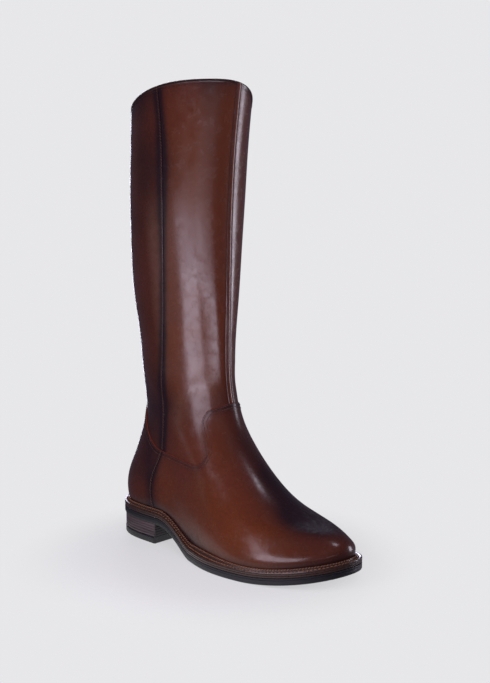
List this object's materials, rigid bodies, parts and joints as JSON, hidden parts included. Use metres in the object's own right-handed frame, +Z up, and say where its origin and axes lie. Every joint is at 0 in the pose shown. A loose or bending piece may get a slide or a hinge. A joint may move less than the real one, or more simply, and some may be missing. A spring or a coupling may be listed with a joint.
{
  "type": "knee-high boot",
  "caption": "Knee-high leather riding-style boot with a low stacked heel, storm welt, rubber sole and a full-length inner zip.",
  "frame": {"origin": "on the floor under the middle of the heel, at the top lift's flat face", "axes": "+X towards the toe, +Y towards the inner (medial) side with the zip, +Z up the shaft"},
  "size_m": [0.282, 0.1139, 0.4393],
  "materials": {
    "upper_leather": "glossy burnished brown calf, darker at seams and edges",
    "insole_leather": "matt tan lining leather",
    "welt_leather": "dark brown stitched storm welt with waxed edge",
    "sole_rubber": "near-black moulded rubber",
    "heel_stack": "brown-grey stacked layers, satin",
    "zip_cloth": "black woven zip tape with moulded teeth",
    "zip_metal": "black lacquered zinc"
  },
  "bodies": {
    "boot": {"upper": "upper_leather", "insole": "insole_leather", "welt": "welt_leather", "outsole": "sole_rubber", "heel_block": "heel_stack", "top_lift": "sole_rubber", "zip_chain": "zip_cloth", "zip_slider": "zip_metal"},
    "pull_tab": {"zip_pull_tab": "zip_metal"}
  },
  "joints": [
    {"name": "zip_pull_swing", "type": "hinge", "parent": "boot", "child": "pull_tab", "pos_m": [0.05826, 0.05371, 0.39426], "axis": [0.9869, -0.0797, -0.14], "range_deg": [0, 160]}
  ]
}
